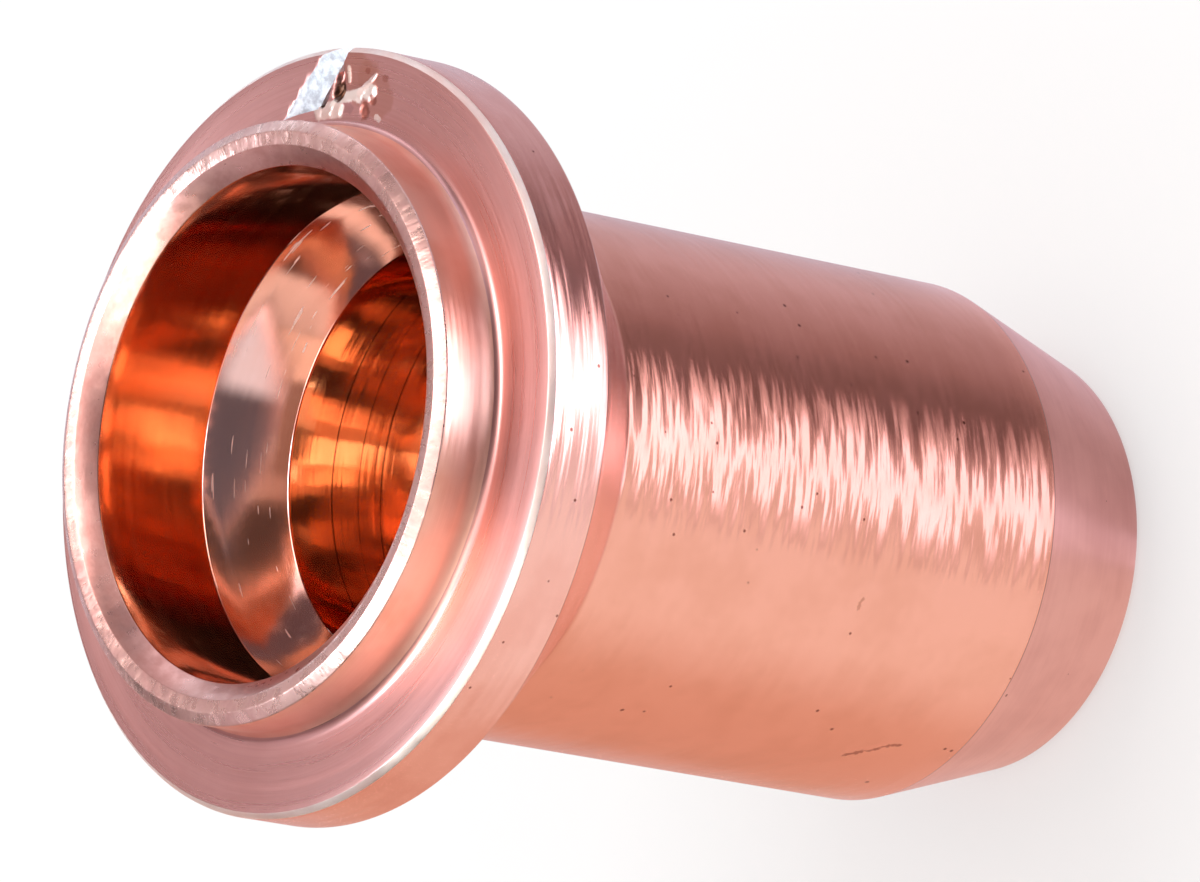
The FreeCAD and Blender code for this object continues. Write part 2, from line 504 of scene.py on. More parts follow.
        height = g.math("ADD", g.math("MULTIPLY", fine, FINE_SHARE),
                        g.math("MULTIPLY", broad, BROAD_SHARE))
        bump = g.add("Bump", Strength=1.0, Distance=self.depth * MM, Height=height).outputs[0]
        if self.grain:
            bump = g.add("Bump", Strength=1.0, Distance=self.grain * MM, Normal=bump,
                         Height=g.noise(place, GRAINS_PER_MM, rough=0.6)).outputs[0]
        tangent = g.vector("CROSS_PRODUCT", (0.0, 0.0, 1.0), outward)
        swung = g.vector("ADD", bump, g.scaled(tangent, self.swing(g, marked, outward)))
        round_axis = g.add("Tangent", {"direction_type": "RADIAL", "axis": "Z"}).outputs[0]
        shader = g.add("BsdfPrincipled", Base_Color=colour, Metallic=metal,
                       Roughness=self.gloss(g, fine, outward, along),
                       Anisotropic=self.anisotropy, Anisotropic_Rotation=QUARTER_TURN,
                       Normal=g.vector("NORMALIZE", swung), Tangent=round_axis)
        return g.surface(shader.outputs[0])


@dataclass(frozen=True)
class SmearedMetal:
    """Pale, lumpy metal where the flange was struck.

    Attributes:
        name: The material's name.
        pale: Linear colour of the smear.
        dull: Linear colour of its hollows.
        lumps_per_mm: Its lumps to the millimetre.
        lump_height: Their height.
        metallic: How metallic it still is.
        roughness: Its gloss.
    """

    name: str
    pale: Triple
    dull: Triple
    lumps_per_mm: float = 5.0
    lump_height: float = 0.03
    metallic: float = 0.5
    roughness: float = 0.5

    def material(self) -> bpy.types.Material:
        """Build the material.

        Returns:
            The material.
        """
        g = Graph(self.name)
        place = g.scaled(g.add("TexCoord").outputs["Object"], 1 / MM)
        lumps = g.noise(place, self.lumps_per_mm, detail=4.0, rough=0.6)
        colour = g.mix(g.remap(lumps, *LUMP_RANGE), (*self.dull, 1.0), (*self.pale, 1.0))
        bump = g.add("Bump", Strength=1.0, Distance=self.lump_height * MM, Height=lumps)
        shader = g.add("BsdfPrincipled", Base_Color=colour, Metallic=self.metallic,
                       Roughness=self.roughness, Normal=bump.outputs[0])
        return g.surface(shader.outputs[0])


# Edges of rings and smears, as shares of their widths.
RING_EDGE = (0.2, 0.6)
SMEAR_EDGE = (0.7, 1.05)
RAGS_PER_WIDTH = 0.9
WANDERS_PER_MM = 2.2
# Ranges of the noises that tint the copper, change its gloss, scratch it and tilt its tool marks.
TONE_RANGE = (0.38, 0.68)
GLOSS_RANGE = (0.3, 0.7)
SCRATCH_RANGE = (0.78, 0.82)
TILT_RANGE = (0.38, 0.62)
TILT_SHIFT = (7.3, 1.9, 4.1)
LUMP_RANGE = (0.35, 0.62)
# The tool marks' height: fine marks on broader ones, and the sizes of what lies between them.
FINE_SHARE = 0.7
BROAD_SHARE = 0.6
COARSE_PITCH = 5
CLOUDS_PER_MM = 0.55
GRAINS_PER_MM = 7.0
SCRATCH_PITCH = 0.05
SCRATCHES_ROUND = 5.0
SCRATCH_ROUGHNESS = 0.6
QUARTER_TURN = 0.25

SPECK = (0.22, 0.06, 0.04, 1.0)
SPECK_CELLS = 3.0
SPECK_SHARE = 0.8
# Colour of thin dark lines: painted shade along corners, and plain dark lines on the chamber wall.
DARK_LINE_AND_CORNER_SHADE = (0.10, 0.04, 0.03)
BROWN = (0.58, 0.23, 0.17)
RED_BROWN = (0.42, 0.11, 0.07)
# Near-black painted shade for the nick's sunken hollows.
HOLLOW_SHADE = (0.085, 0.035, 0.022)
FACE = 19.0

FACE_SMEARS_AND_SHADE = (
    SmearAndShade((7.60, 0.70, FACE), (7.15, 0.10, FACE), 0.40, BROWN, 0.65, tip=1.3),
    SmearAndShade((7.20, -0.10, FACE), (6.80, -0.60, FACE), 0.42, BROWN, 0.55),
    SmearAndShade((6.60, 0.70, FACE), (6.58, 0.35, FACE), 0.13, (0.45, 0.20, 0.20), 0.6, dull=0.2),
    SmearAndShade((6.42, 1.30, FACE), (6.52, 0.72, FACE), 0.19, (0.80, 0.60, 0.54), dull=0.6, lift=0.04),
    SmearAndShade((6.76, 0.62, FACE), (6.98, -0.24, FACE), 0.13, (0.88, 0.74, 0.68), dull=0.7, tip=1.6,
          lift=0.045),
    SmearAndShade((6.95, 0.05, FACE), (7.32, -0.30, FACE), 0.13, (0.85, 0.62, 0.57), 0.8, dull=0.5, tip=0.4,
          lift=0.02),
    SmearAndShade((6.80, 0.80, FACE), (6.60, 0.90, FACE), 0.08, (0.86, 0.72, 0.67), dull=0.7, lift=0.03),
    SmearAndShade((7.40, 0.60, FACE), (7.14, 0.50, FACE), 0.055, (0.90, 0.66, 0.56), dull=0.6, lift=0.01),
    SmearAndShade((6.50, -0.58, FACE), (6.46, -0.66, FACE), 0.08, (0.93, 0.72, 0.66), 0.8, dull=0.4),
    # Two hollows beside the nick: sunk a little, and painted near-black as their shade.
    SmearAndShade((7.42, 0.85, FACE), (6.88, 0.77, FACE), 0.075, HOLLOW_SHADE, 1.0, ragged=0.25, tip=3.2,
          lift=-0.15),
    SmearAndShade((6.90, 1.12, FACE), (6.60, 1.23, FACE), 0.07, HOLLOW_SHADE, 1.0, ragged=0.25, tip=1.6,
          lift=-0.12),
    SmearAndShade((7.39, 0.00, FACE), (7.37, -0.05, FACE), 0.07, RED_BROWN, 0.7),
    SmearAndShade((7.31, -0.60, FACE), (7.29, -0.66, FACE), 0.08, RED_BROWN, 0.6),
    SmearAndShade((6.83, -0.32, FACE), (6.80, -0.36, FACE), 0.11, RED_BROWN, 0.75, lift=-0.02),
    SmearAndShade((6.60, -0.12, FACE), (6.52, -0.20, FACE), 0.15, RED_BROWN, 0.8, lift=-0.025),
)
BARREL_SMEARS = (
    SmearAndShade((-4.47, -3.20, 5.94), (-4.06, -3.71, 4.95), 0.05, (0.36, 0.12, 0.08), 0.75, 1.7),
    SmearAndShade((-1.24, -5.36, 8.05), (-1.45, -5.30, 8.15), 0.045, (0.50, 0.20, 0.13), 0.6, 1.6),
)

# Torn metal: how far round a stroke the faces are divided, how thick the skin is that moves, how
# steeply it rises from the stroke's edge, and the size and contrast of its lumps.
TORN_REACH = 2.0
TORN_SKIN = 0.1
TORN_SLOPE = 1.6
TORN_GRAIN = 0.25
TORN_CONTRAST = 1.2

FINISHES = {
    Zone.NOSE: TurnedCopper(
        "nose_copper", (0.86, 0.45, 0.385), (0.77, 0.38, 0.325), roughness=(0.34, 0.03),
        pitch=0.10, depth=0.0012, chatter=1.0, grain=0.0005, specks=0.04, speck_size=(0.02, 0.04),
        # Painted shade along the corner at the nose's root.
        rings=(Ring(3.4, 0.07, DARK_LINE_AND_CORNER_SHADE, 0.6),)),
    Zone.BARREL: TurnedCopper(
        "barrel_copper", (0.94, 0.44, 0.33), (0.88, 0.40, 0.29), roughness=(0.22, 0.02),
        pitch=0.15, mark_length=20.0, depth=0.005, chatter=7.6, streaking=0.05, grain=0.0006,
        specks=0.13, speck_size=(0.02, 0.05), warp=0.25, stretch=Stretch(-77.0, 17.0, 9.0, 0.10),
        smears=BARREL_SMEARS),
    Zone.FLANGE: TurnedCopper(
        "flange_copper", (0.97, 0.52, 0.44), (0.91, 0.45, 0.37), roughness=(0.24, 0.03),
        pitch=0.14, mark_length=30.0, depth=0.004, chatter=5.0, streaking=0.05, grain=0.0004,
        specks=0.08, speck_size=(0.02, 0.05), stretch=Stretch(-72.0, 30.0, 12.0, 0.3),
        # Painted shade along the flange's root and along the rim's corner.
        rings=(Ring(15.0, 0.06, DARK_LINE_AND_CORNER_SHADE), Ring(17.52, 0.06, DARK_LINE_AND_CORNER_SHADE))),
    Zone.FACE: TurnedCopper(
        "flange_face_copper", (0.75, 0.37, 0.34), (0.66, 0.30, 0.27), roughness=(0.30, 0.05),
        marks=Marks.RADIUS, pitch=0.10, depth=0.0030, chatter=0.5, streaking=0.7, grain=0.0003,
        warp=0.12, smears=FACE_SMEARS_AND_SHADE),
    Zone.COLLAR: TurnedCopper(
        "collar_copper", (0.98, 0.55, 0.43), (0.90, 0.43, 0.31), roughness=(0.36, 0.03),
        pitch=0.12, depth=0.008, chatter=1.6, anisotropy=0.8, streaking=0.05),
    Zone.LAND: TurnedCopper(
        "land_copper", (0.90, 0.54, 0.47), (0.74, 0.38, 0.34), roughness=(0.29, 0.08),
        marks=Marks.RADIUS, pitch=0.35, mark_length=2.4, depth=0.016, chatter=1.5, anisotropy=0.3,
        streaking=0.6),
    Zone.COUNTERBORE: TurnedCopper(
        "counterbore_copper", (0.82, 0.46, 0.29), (0.79, 0.43, 0.27), roughness=(0.11, 0.02),
        depth=0.0003, chatter=0.15, anisotropy=0.7, streaking=0.4),
    Zone.SEAT: TurnedCopper(
        "seat_copper", (0.93, 0.66, 0.61), (0.90, 0.61, 0.55), roughness=(0.10, 0.02),
        depth=0.0002, chatter=0.1, anisotropy=0.3, scratches=0.09),
    Zone.CHAMBER: TurnedCopper(
        "chamber_copper", (0.78, 0.51, 0.37), (0.72, 0.45, 0.32), roughness=(0.07, 0.02),
        pitch=0.40, mark_length=150.0, depth=0.005, chatter=0.2, anisotropy=0.7, streaking=0.5,
        rings=(Ring(14.6, 0.05, DARK_LINE_AND_CORNER_SHADE), Ring(13.9, 0.04, DARK_LINE_AND_CORNER_SHADE, 0.5),
               Ring(13.3, 0.05, DARK_LINE_AND_CORNER_SHADE), Ring(12.4, 0.04, DARK_LINE_AND_CORNER_SHADE, 0.6))),
    Zone.SCAR: SmearedMetal("scar_silver", (0.60, 0.60, 0.63), (0.36, 0.35, 0.38)),
    # The rim's edge break: pale cream copper that is a painted highlight.
    Zone.WORN_EDGE: TurnedCopper(
        "painted_highlight_edge_copper", (0.98, 0.80, 0.72), (0.95, 0.66, 0.58), roughness=(0.42, 0.06),
        pitch=0.3, mark_length=6.0, depth=0.004),
    Zone.MOUTH_BEVEL: TurnedCopper(
        "mouth_bevel_copper", (0.74, 0.38, 0.33), (0.60, 0.27, 0.23), roughness=(0.30, 0.04),
        marks=Marks.RADIUS, pitch=0.2, mark_length=4.0, depth=0.006, chatter=1.0, streaking=0.5),
    Zone.NOSE_FACE: TurnedCopper(
        "nose_face_copper", (0.80, 0.41, 0.34), (0.68, 0.31, 0.25), roughness=(0.32, 0.05),
        marks=Marks.RADIUS, pitch=0.12, depth=0.0025, chatter=0.8, streaking=0.5),
}


def edit_only(piece: bpy.types.Object) -> None:
    """Leave everything deselected but one piece, and make it active.

    Args:
        piece: The piece.
    """
    if bpy.context.object and bpy.context.object.mode != "OBJECT":
        bpy.ops.object.mode_set(mode="OBJECT")
    bpy.ops.object.select_all(action="DESELECT")
    piece.select_set(True)
    bpy.context.view_layer.objects.active = piece


def start_vertex(name: str, place: Triple) -> bpy.types.Object:
    """One vertex to draw an outline from: a small plane merged at its centre.

    Args:
        name: The new object's name.
        place: Where the vertex is, in millimetres.

    Returns:
        The object, in edit mode with its vertex selected.
    """
    bpy.ops.object.select_all(action="DESELECT")
    bpy.ops.mesh.primitive_plane_add(size=1.0)
    piece = bpy.context.object
    piece.name = piece.data.name = name
    bpy.ops.object.mode_set(mode="EDIT")
    bpy.ops.mesh.select_all(action="SELECT")
    bpy.ops.mesh.merge(type="CENTER")
    bpy.ops.transform.translate(value=place)
    return piece


def select_near(piece: bpy.types.Object, place: Vector, kind: str = "VERT") -> None:
    """Select the one vertex or edge whose middle is nearest to a place, in edit mode.

    Args:
        piece: The piece that is edited.
        place: The place, in millimetres.
        kind: VERT or EDGE.
    """
    bpy.ops.mesh.select_mode(type=kind)
    bpy.ops.mesh.select_all(action="DESELECT")
    mesh = bmesh.from_edit_mesh(piece.data)
    if kind == "VERT":
        nearest = min(mesh.verts, key=lambda vertex: (vertex.co - place).length)
    else:
        nearest = min(mesh.edges, key=lambda edge: (
            (edge.verts[0].co + edge.verts[1].co) / 2 - place).length)
    nearest.select_set(True)
    mesh.select_flush(True)
    bmesh.update_edit_mesh(piece.data)


def subtract(piece: bpy.types.Object, tool: bpy.types.Object) -> None:
    """Cut a tool's solid out of a piece, and delete the tool.

    Args:
        piece: The piece, which is active.
        tool: The tool.
    """
    cut = piece.modifiers.new("cut", "BOOLEAN")
    cut.operation = "DIFFERENCE"
    cut.solver = "EXACT"
    cut.material_mode = "TRANSFER"
    cut.object = tool
    bpy.ops.object.modifier_apply(modifier=cut.name)
    bpy.data.objects.remove(tool)


@dataclass(frozen=True)
class Corner:
    """One corner of the turned outline.

    Attributes:
        radius: Distance from the axis.
        height: Height above the nose face.
        rounding: Radius that the corner is rounded to.
        steps: Edges in that rounding.
        cuts: Cuts in the straight stretch after the corner.
        zone: Finish of that stretch and of the rounding before it.
    """

    radius: float
    height: float
    rounding: float
    steps: int
    cuts: int
    zone: Zone

    @property
    def place(self) -> Vector:
        """The corner on the XZ plane."""
        return Vector((self.radius, 0.0, self.height))


@dataclass
class FlangeNick:
    """The nick across the flange's rear face, a V whose bottom line sinks towards the collar.

    Attributes:
        angle: Turn of its line from +X, clockwise from above.
        offset: Its bottom line to the axis, square to that line.
        depth_rim: Depth of the bottom line outside the rim.
        depth_inner: Depth of the bottom line at its inner end, under the collar's foot.
        clearance: Flange face left whole between the nick and the collar's foot.
        gentle_slope: Slope of the wide flank.
        steep_slope: Slope of the narrow flank.
        lift: How far the cutter stands above the flange face.
        lumps: Height of the flanks' lumps.
        lump_size: Distance from one lump to the next, about.
        cuts: Cuts along and across each flank, which the lumps need.
    """

    angle: float = 28.0
    offset: float = 4.35
    depth_rim: float = 0.18
    depth_inner: float = 0.31
    clearance: float = 0.05
    gentle_slope: float = 24.0
    steep_slope: float = 65.0
    lift: float = 0.28
    lumps: float = 0.07
    lump_size: float = 0.35
    cuts: int = 5

    def cutter(self, face_height: float, start: float, stop: float, foot: float,
               finish: bpy.types.Material) -> bpy.types.Object:
        """Model the solid that the nick is cut with.

        Args:
            face_height: Height of the flange face.
            start: Where the cutter begins, along its line.
            stop: Where it ends, under the collar.
            foot: Radius of the collar's foot, which stays whole.
            finish: Finish that its flanks leave on the flange.

        Returns:
            The cutter, in millimetres.
        """
        rise = self.depth_rim + self.lift
        bottom = Vector((start, self.offset, face_height - self.depth_rim))
        gentle = Vector((0.0, rise / math.tan(math.radians(self.gentle_slope)), rise))
        steep = Vector((0.0, -rise / math.tan(math.radians(self.steep_slope)), rise))
        piece = start_vertex("nick_cutter", tuple(bottom))
        piece.data.materials.append(finish)
        for step in (gentle, steep - gentle):
            bpy.ops.mesh.extrude_region_move(TRANSFORM_OT_translate={"value": step})
        bpy.ops.mesh.select_all(action="SELECT")
        bpy.ops.mesh.edge_face_add()
        run = Vector((stop - start, 0.0, self.depth_rim - self.depth_inner))
        bpy.ops.mesh.extrude_region_move(TRANSFORM_OT_translate={"value": run})
        bpy.ops.mesh.select_all(action="SELECT")
        bpy.ops.mesh.normals_make_consistent(inside=False)
        for _ in range(self.cuts):
            bpy.ops.mesh.subdivide(number_cuts=1)
        bpy.ops.transform.rotate(value=math.radians(self.angle), orient_axis="Z",
                                 center_override=(0.0, 0.0, 0.0))
        bpy.ops.object.mode_set(mode="OBJECT")
        lumps = bpy.data.textures.new("nick_lumps", "CLOUDS")
        lumps.noise_scale = self.lump_size
        modifier = piece.modifiers.new("lumps", "DISPLACE")
        modifier.texture = lumps
        modifier.texture_coords = "LOCAL"
        modifier.strength = self.lumps
        bpy.ops.object.modifier_apply(modifier=modifier.name)
        bpy.ops.object.select_all(action="DESELECT")
        bpy.ops.mesh.primitive_cylinder_add(vertices=256, radius=foot + self.clearance, depth=4.0,
                                            location=(0.0, 0.0, face_height))
        collar = bpy.context.object
        collar.data.materials.append(finish)
        edit_only(piece)
        subtract(piece, collar)
        return piece


@dataclass
class TurnedNozzle:
    """The whole nozzle: one outline turned about the axis, and nicked.

    Attributes:
        length: Nose face to mouth.
        flange_radius: Radius of the rim.
        barrel_radius: Radius of the plain barrel.
        nose_length: Height of the nose cone.
        nose_radius: Radius of the nose face.
        nose_edge: Rounding of its edge.
        rim_width: Height of the rim.
        cone_length: Height of the cone under it.
        cone_root: Rounding at the foot of that cone.
        edge_break: Bevel of the flange face's edge.
        collar_radius: Radius of the collar.
        collar_height: Flange face to mouth.
        collar_foot: Rounding at the collar's foot.
        bevel_width: Width of the bevel outside the mouth.
        bevel_length: Height of that bevel.
        counterbore_radius: Radius of the counterbore.
        counterbore_depth: Mouth to seat.
        mouth_bevel: Bevel inside the mouth.
        land_dish: How far the mouth's flat land sinks towards the bore.
        seat_half_angle: Slope of the seat from the axis.
        chamber_radius: Radius of the electrode's chamber.
        floor_half_angle: Slope of its floor from the axis.
        orifice_radius: Radius of the arc orifice.
        orifice_length: Length of the arc orifice.
        small_edge: Rounding of the other edges.
        steps: Facets round the axis.
        nick: The nick in the flange.
    """

    length: float
    flange_radius: float
    barrel_radius: float = 5.5
    nose_length: float = 3.4
    nose_radius: float = 4.45
    nose_edge: float = 0.25
    rim_width: float = 1.45
    cone_length: float = 2.5
    cone_root: float = 0.3
    edge_break: float = 0.12
    collar_radius: float = 6.15
    collar_height: float = 1.4
    collar_foot: float = 0.4
    bevel_width: float = 0.25
    bevel_length: float = 0.15
    counterbore_radius: float = 5.25
    counterbore_depth: float = 3.1
    mouth_bevel: float = 0.38
    land_dish: float = 0.05
    seat_half_angle: float = 30.0
    chamber_radius: float = 4.35
    floor_half_angle: float = 50.0
    orifice_radius: float = 0.65
    orifice_length: float = 2.2
    small_edge: float = 0.05
    steps: int = 400
    nick: FlangeNick = field(default_factory=FlangeNick)

    @property
    def face_height(self) -> float:
        """Height of the flange's rear face."""
        return self.length - self.collar_height

    @property
    def outline(self) -> list[Corner]:
        """Work out the closed outline.

        Returns:
            Its corners, from the orifice round the outside and back inside.
        """
        edge = self.small_edge
        rim = self.face_height - self.rim_width
        root = rim - self.cone_length
        seat_top = self.length - self.counterbore_depth
        seat_drop = (self.counterbore_radius - self.chamber_radius) / math.tan(
            math.radians(self.seat_half_angle))
        floor_rise = (self.chamber_radius - self.orifice_radius) / math.tan(
            math.radians(self.floor_half_angle))
        broken = self.flange_radius - self.edge_break
        return [
            Corner(self.orifice_radius, 0.0, edge, 2, 2, Zone.NOSE_FACE),
            Corner(self.nose_radius, 0.0, self.nose_edge, 6, 6, Zone.NOSE),
            Corner(self.barrel_radius, self.nose_length, 2 * edge, 2, 16, Zone.BARREL),
            Corner(self.barrel_radius, root, self.cone_root, 5, 5, Zone.FLANGE),
            Corner(self.flange_radius, rim, edge, 3, 4, Zone.FLANGE),
            # The edge break takes the painted highlight finish.
            Corner(self.flange_radius, self.face_height - self.edge_break, edge, 2, 0,
                   Zone.WORN_EDGE),
            Corner(broken, self.face_height, edge, 3, 5, Zone.FACE),
            Corner(self.collar_radius, self.face_height, self.collar_foot, 8, 2, Zone.COLLAR),
            Corner(self.collar_radius, self.length - self.bevel_length, edge, 3, 0, Zone.LAND),
            Corner(self.collar_radius - self.bevel_width, self.length, edge, 3, 2, Zone.LAND),
            Corner(self.counterbore_radius + self.mouth_bevel, self.length - self.land_dish,
                   edge, 3, 1, Zone.MOUTH_BEVEL),
            Corner(self.counterbore_radius, self.length - self.mouth_bevel, edge, 3, 6,
                   Zone.COUNTERBORE),
            Corner(self.counterbore_radius, seat_top, 2 * edge, 4, 4, Zone.SEAT),
            Corner(self.chamber_radius, seat_top - seat_drop, 3 * edge, 5, 12, Zone.CHAMBER),
            Corner(self.chamber_radius, self.orifice_length + floor_rise, 2 * edge, 3, 4,
                   Zone.CHAMBER),
            Corner(self.orifice_radius, self.orifice_length, edge, 2, 2, Zone.CHAMBER),
        ]

    def draw_outline(self) -> bpy.types.Object:
        """Draw the outline corner by corner on the XZ plane, closed and with its corners rounded.

        Returns:
            The outline, in edit mode.
        """
        corners = self.outline
        count = len(corners)
        piece = start_vertex(NODE + "_turned", tuple(corners[0].place))
        for index in range(count):
            step = corners[(index + 1) % count].place - corners[index].place
            bpy.ops.mesh.extrude_region_move(TRANSFORM_OT_translate={"value": step})
        bpy.ops.mesh.select_all(action="SELECT")
        bpy.ops.mesh.remove_doubles(threshold=WELD)
        for index, corner in enumerate(corners):
            after = corners[(index + 1) % count].place
            if corner.cuts:
                select_near(piece, (corner.place + after) / 2, "EDGE")
                bpy.ops.mesh.subdivide(number_cuts=corner.cuts)
        for index, corner in enumerate(corners):
            before = (corner.place - corners[index - 1].place).normalized()
            after = (corners[(index + 1) % count].place - corner.place).normalized()
            back = corner.rounding * math.tan(before.angle(after) / 2)
            select_near(piece, corner.place)
            bpy.ops.mesh.bevel(offset=back, segments=corner.steps, affect="VERTICES",
                               offset_type="OFFSET", clamp_overlap=False)
        return piece

    def turn(self) -> None:
        """Spin the outline about the axis into a closed skin with its faces outward."""
        bpy.ops.mesh.select_all(action="SELECT")
        bpy.ops.mesh.spin(steps=self.steps, angle=FULL_TURN, center=(0.0, 0.0, 0.0),
                          axis=(0.0, 0.0, 1.0), use_auto_merge=True)
        bpy.ops.mesh.select_all(action="SELECT")
        bpy.ops.mesh.remove_doubles(threshold=WELD)
        bpy.ops.mesh.normals_make_consistent(inside=False)
        bpy.ops.object.mode_set(mode="OBJECT")

    def zone_of(self, radius: float, height: float) -> Zone:
        """Zone of the outline stretch that is nearest to a point.

        Args:
            radius: The point's distance from the axis.
            height: Its height above the nose face.

        Returns:
            The zone.
        """
        point = Vector((radius, 0.0, height))
        corners = self.outline
        best = (math.inf, Zone.NOSE)
        for index, corner in enumerate(corners):
            run = corners[(index + 1) % len(corners)].place - corner.place
            share = max(0.0, min(1.0, (point - corner.place).dot(run) / run.length_squared))
            best = min(best, ((corner.place + run * share - point).length, corner.zone),
                       key=lambda item: item[0])
        return best[1]

    def dress(self, piece: bpy.types.Object) -> None:
        """Give each face the finish of its zone.

        Args:
            piece: The turned nozzle.
        """
        known: dict[tuple[float, float], int] = {}
        for zone in Zone:
            piece.data.materials.append(FINISHES[zone].material())
        for face in piece.data.polygons:
            radius = math.hypot(face.center.x, face.center.y)
            key = (round(radius, 3), round(face.center.z, 3))
            if key not in known:
                known[key] = self.zone_of(radius, face.center.z).value
            face.material_index = known[key]

    def cut_nick(self, piece: bpy.types.Object) -> None:
        """Cut the nick out of the flange and give its flanks the scar's finish.

        Args:
            piece: The turned nozzle.
        """
        cutter = self.nick.cutter(self.face_height, self.flange_radius, 2 * self.collar_radius / 3,
                                  self.collar_radius + self.collar_foot,
                                  piece.data.materials[Zone.SCAR.value])
        edit_only(piece)
        subtract(piece, cutter)

    def on_face(self, place: Vector) -> Vector:
        """The place above or below a point at the flange face's height."""
        return Vector((*place.xy, self.face_height))

    def split_battered(self, piece: bpy.types.Object, marks: list[SmearAndShade]) -> set[int]:
        """Divide the faces near the torn metal.

        Args:
            piece: The nicked nozzle.
            marks: The strokes of torn metal.

        Returns:
            Indices of the vertices there.
        """
        bpy.ops.object.mode_set(mode="EDIT")
        bpy.ops.mesh.select_mode(type="FACE")
        bpy.ops.mesh.select_all(action="DESELECT")
        bpy.ops.object.mode_set(mode="OBJECT")
        for face in piece.data.polygons:
            if face.material_index in (Zone.FACE.value, Zone.COLLAR.value):
                near = any(mark.reach(self.on_face(face.center)) < TORN_REACH for mark in marks)
                face.select = near and face.center.z < self.face_height + TORN_SKIN
        bpy.ops.object.mode_set(mode="EDIT")
        bpy.ops.mesh.quads_convert_to_tris()
        bpy.ops.mesh.subdivide(number_cuts=3)
        bpy.ops.object.mode_set(mode="OBJECT")
        return {index for face in piece.data.polygons if face.select for index in face.vertices}

    def batter(self, piece: bpy.types.Object) -> None:
        """Raise and sink the flange face beside the nick, where the blow tore the metal.

        Args:
            piece: The nicked nozzle.
        """
        edit_only(piece)
        marks = [smear for smear in FACE_SMEARS_AND_SHADE if smear.lift]
        inside = self.split_battered(piece, marks)
        for mark in marks:
            group = piece.vertex_groups.new(name="battered")
            for index in inside:
                place = piece.data.vertices[index].co
                near = 1.0 - mark.reach(self.on_face(place))
                height = max(0.0, min(1.0, TORN_SLOPE * near))
                level = place.z < self.face_height or abs(place.z - self.face_height) < TORN_SKIN
                if height > 0 and level and place.xy.length < self.flange_radius - self.edge_break:
                    group.add([index], height * height * (3 - 2 * height), "REPLACE")
            clouds = bpy.data.textures.new("battered", "CLOUDS")
            clouds.noise_scale = TORN_GRAIN
            clouds.intensity = TORN_CONTRAST
            modifier = piece.modifiers.new("battered", "DISPLACE")
            modifier.direction = "Z"
            modifier.mid_level = 0.0
            modifier.strength = mark.lift
            modifier.vertex_group = group.name
            modifier.texture = clouds
            modifier.texture_coords = "LOCAL"
            bpy.ops.object.modifier_apply(modifier=modifier.name)
            piece.vertex_groups.clear()

    def build(self) -> bpy.types.Object:
        """Model, nick and dress the nozzle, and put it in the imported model's place.

        Returns:
            The finished piece, in metres.
        """
        piece = self.draw_outline()
        self.turn()
        self.dress(piece)
        self.cut_nick(piece)
        self.batter(piece)
        edit_only(piece)
        bpy.ops.object.mode_set(mode="EDIT")
        bpy.ops.mesh.select_all(action="SELECT")
        bpy.ops.transform.resize(value=(MM, MM, MM), center_override=(0.0, 0.0, 0.0))
        bpy.ops.object.mode_set(mode="OBJECT")
        bpy.ops.object.shade_smooth_by_angle(angle=math.radians(SMOOTH_ANGLE))
        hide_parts(NODE)
        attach(piece, BODY)
        return piece


@dataclass(frozen=True)
class Panel:
    """Soft-edged area of the tent round the nozzle.

    Attributes:
        azimuth: Direction of its middle, counter-clockwise from +X.
        elevation: Its middle above the horizon.
        reach: Half its width and half its height, in degrees.
        edge: Half the width of its soft edge, in degrees.
        colour: Its linear colour, where white paper in full light is 1.
    """

    azimuth: float
    elevation: float
    reach: tuple[float, float]
    edge: float
    colour: Triple


TENT_DARK = (0.10, 0.09, 0.10)
TENT = (
    Panel(90.0, 36.0, (65.0, 22.0), 14.0, (0.50, 0.44, 0.46)),
    Panel(0.0, 64.0, (181.0, 13.0), 4.0, (2.1, 2.0, 2.0)),
    Panel(0.0, 90.0, (181.0, 14.0), 3.0, (1.5, 1.45, 1.45)),
    Panel(-66.0, 38.0, (35.0, 30.0), 6.0, (0.13, 0.11, 0.12)),
    Panel(-124.0, 25.0, (21.0, 7.0), 5.0, (1.0, 0.93, 0.95)),
    Panel(-149.0, 38.5, (43.0, 5.0), 4.0, (1.30, 1.10, 0.90)),
    Panel(-141.0, 5.0, (15.0, 4.0), 2.0, (0.9, 0.85, 0.85)),
    Panel(-14.0, 15.0, (22.0, 6.0), 5.0, (1.35, 1.6, 2.0)),
    Panel(28.0, 17.0, (20.0, 6.0), 4.0, (1.6, 1.7, 1.9)),
    Panel(62.0, 9.0, (26.0, 4.0), 2.0, (1.5, 1.9, 2.2)),
    Panel(-8.0, 34.0, (14.0, 5.0), 4.0, (1.5, 1.4, 1.4)),
    Panel(140.0, 60.0, (42.0, 6.5), 2.0, (8.0, 10.5, 12.0)),
    Panel(-153.0, 52.5, (31.0, 5.0), 2.0, (7.0, 7.5, 7.0)),
    Panel(141.0, 26.0, (10.0, 8.0), 4.0, (0.75, 0.70, 0.78)),
)

